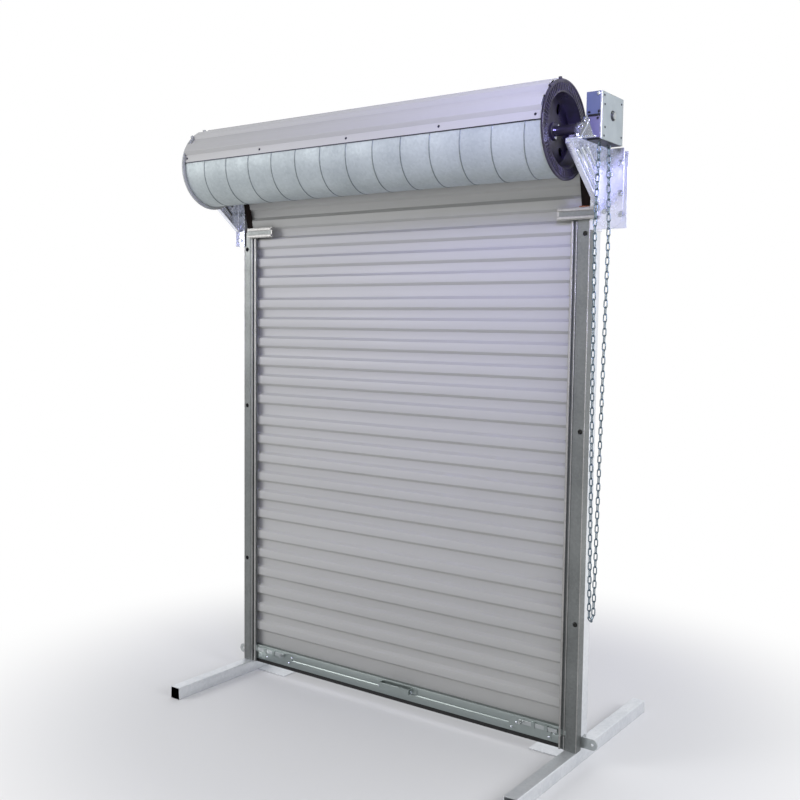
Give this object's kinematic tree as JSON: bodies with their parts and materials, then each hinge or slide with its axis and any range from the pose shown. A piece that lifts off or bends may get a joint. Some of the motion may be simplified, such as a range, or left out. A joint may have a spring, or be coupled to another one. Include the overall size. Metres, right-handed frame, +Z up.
{
  "type": "roller shutter door on a display stand",
  "caption": "Closed rolling sheet door: corrugated curtain on a tube barrel between side guides, with a hand-chain hoist, on a free-standing steel frame.",
  "frame": {"origin": "on the floor, in the middle of the whole outline, midway along the feet", "axes": "+X across the doorway towards the hoist, +Y from the coil side to the wall side, +Z up"},
  "size_m": [1.887, 1.084, 2.4139],
  "materials": {
    "frame_tube": "bright galvanised square tube, satin",
    "frame_plate": "galvanised plate",
    "guide_steel": "galvanised roll-formed strip",
    "bracket_steel": "galvanised pressed sheet with spangle",
    "packer_timber": "dark brown stained",
    "clamp_steel": "zinc plated",
    "wheel_moulding": "near-black moulding",
    "wheel_casting": "light grey",
    "bolt_steel": "zinc plated",
    "axle_pipe": "galvanised pipe",
    "barrel_steel": "galvanised lock-seam sheet",
    "curtain_paint": "light warm grey, satin",
    "bar_steel": "galvanised folded strip",
    "seal_rubber": "black",
    "hoist_paint": "grey-green, satin",
    "shaft_steel": "turned",
    "wheel_iron": "zinc plated casting",
    "hoist_dark": "dark sheet",
    "chain_zinc": "zinc plated welded links"
  },
  "bodies": {
    "stand": {"foot_left": "frame_tube", "foot_right": "frame_tube", "floor_plate_left": "frame_plate", "floor_plate_right": "frame_plate", "post_left": "frame_tube", "post_right": "frame_tube", "base_lug_left": "frame_plate", "base_lug_right": "frame_plate", "guide_left": "guide_steel", "guide_right": "guide_steel", "stop_bar_left": "bracket_steel", "stop_bar_right": "bracket_steel", "head_packer_left": "packer_timber", "head_packer_right": "packer_timber", "head_plate_left": "frame_plate", "head_plate_right": "frame_plate", "bracket_left": "bracket_steel", "bracket_right": "bracket_steel", "axle_clamp_left": "clamp_steel", "axle_clamp_right": "clamp_steel", "drum_wheel_left": "wheel_casting", "drum_wheel_right": "wheel_moulding", "bolt_plate_left": "bolt_steel", "bolt_plate_right": "bolt_steel", "axle": "axle_pipe", "barrel": "barrel_steel", "curtain": "curtain_paint", "bottom_bar": "bar_steel", "bottom_seal": "seal_rubber", "lift_handle": "bar_steel", "hoist_housing": "hoist_paint", "hoist_cover": "hoist_paint", "wheel_shaft": "shaft_steel", "pocket_wheel": "wheel_iron", "chain_guide": "hoist_dark", "hand_chain": "chain_zinc"},
    "bolt_left": {"slide_bolt_left": "bolt_steel"},
    "bolt_right": {"slide_bolt_right": "bolt_steel"}
  },
  "joints": [
    {"name": "bolt_left_slide", "type": "slide", "parent": "stand", "child": "bolt_left", "axis": [-1, 0, 0], "range_m": [0, 0.032]},
    {"name": "bolt_right_slide", "type": "slide", "parent": "stand", "child": "bolt_right", "axis": [1, 0, 0], "range_m": [0, 0.032]}
  ]
}
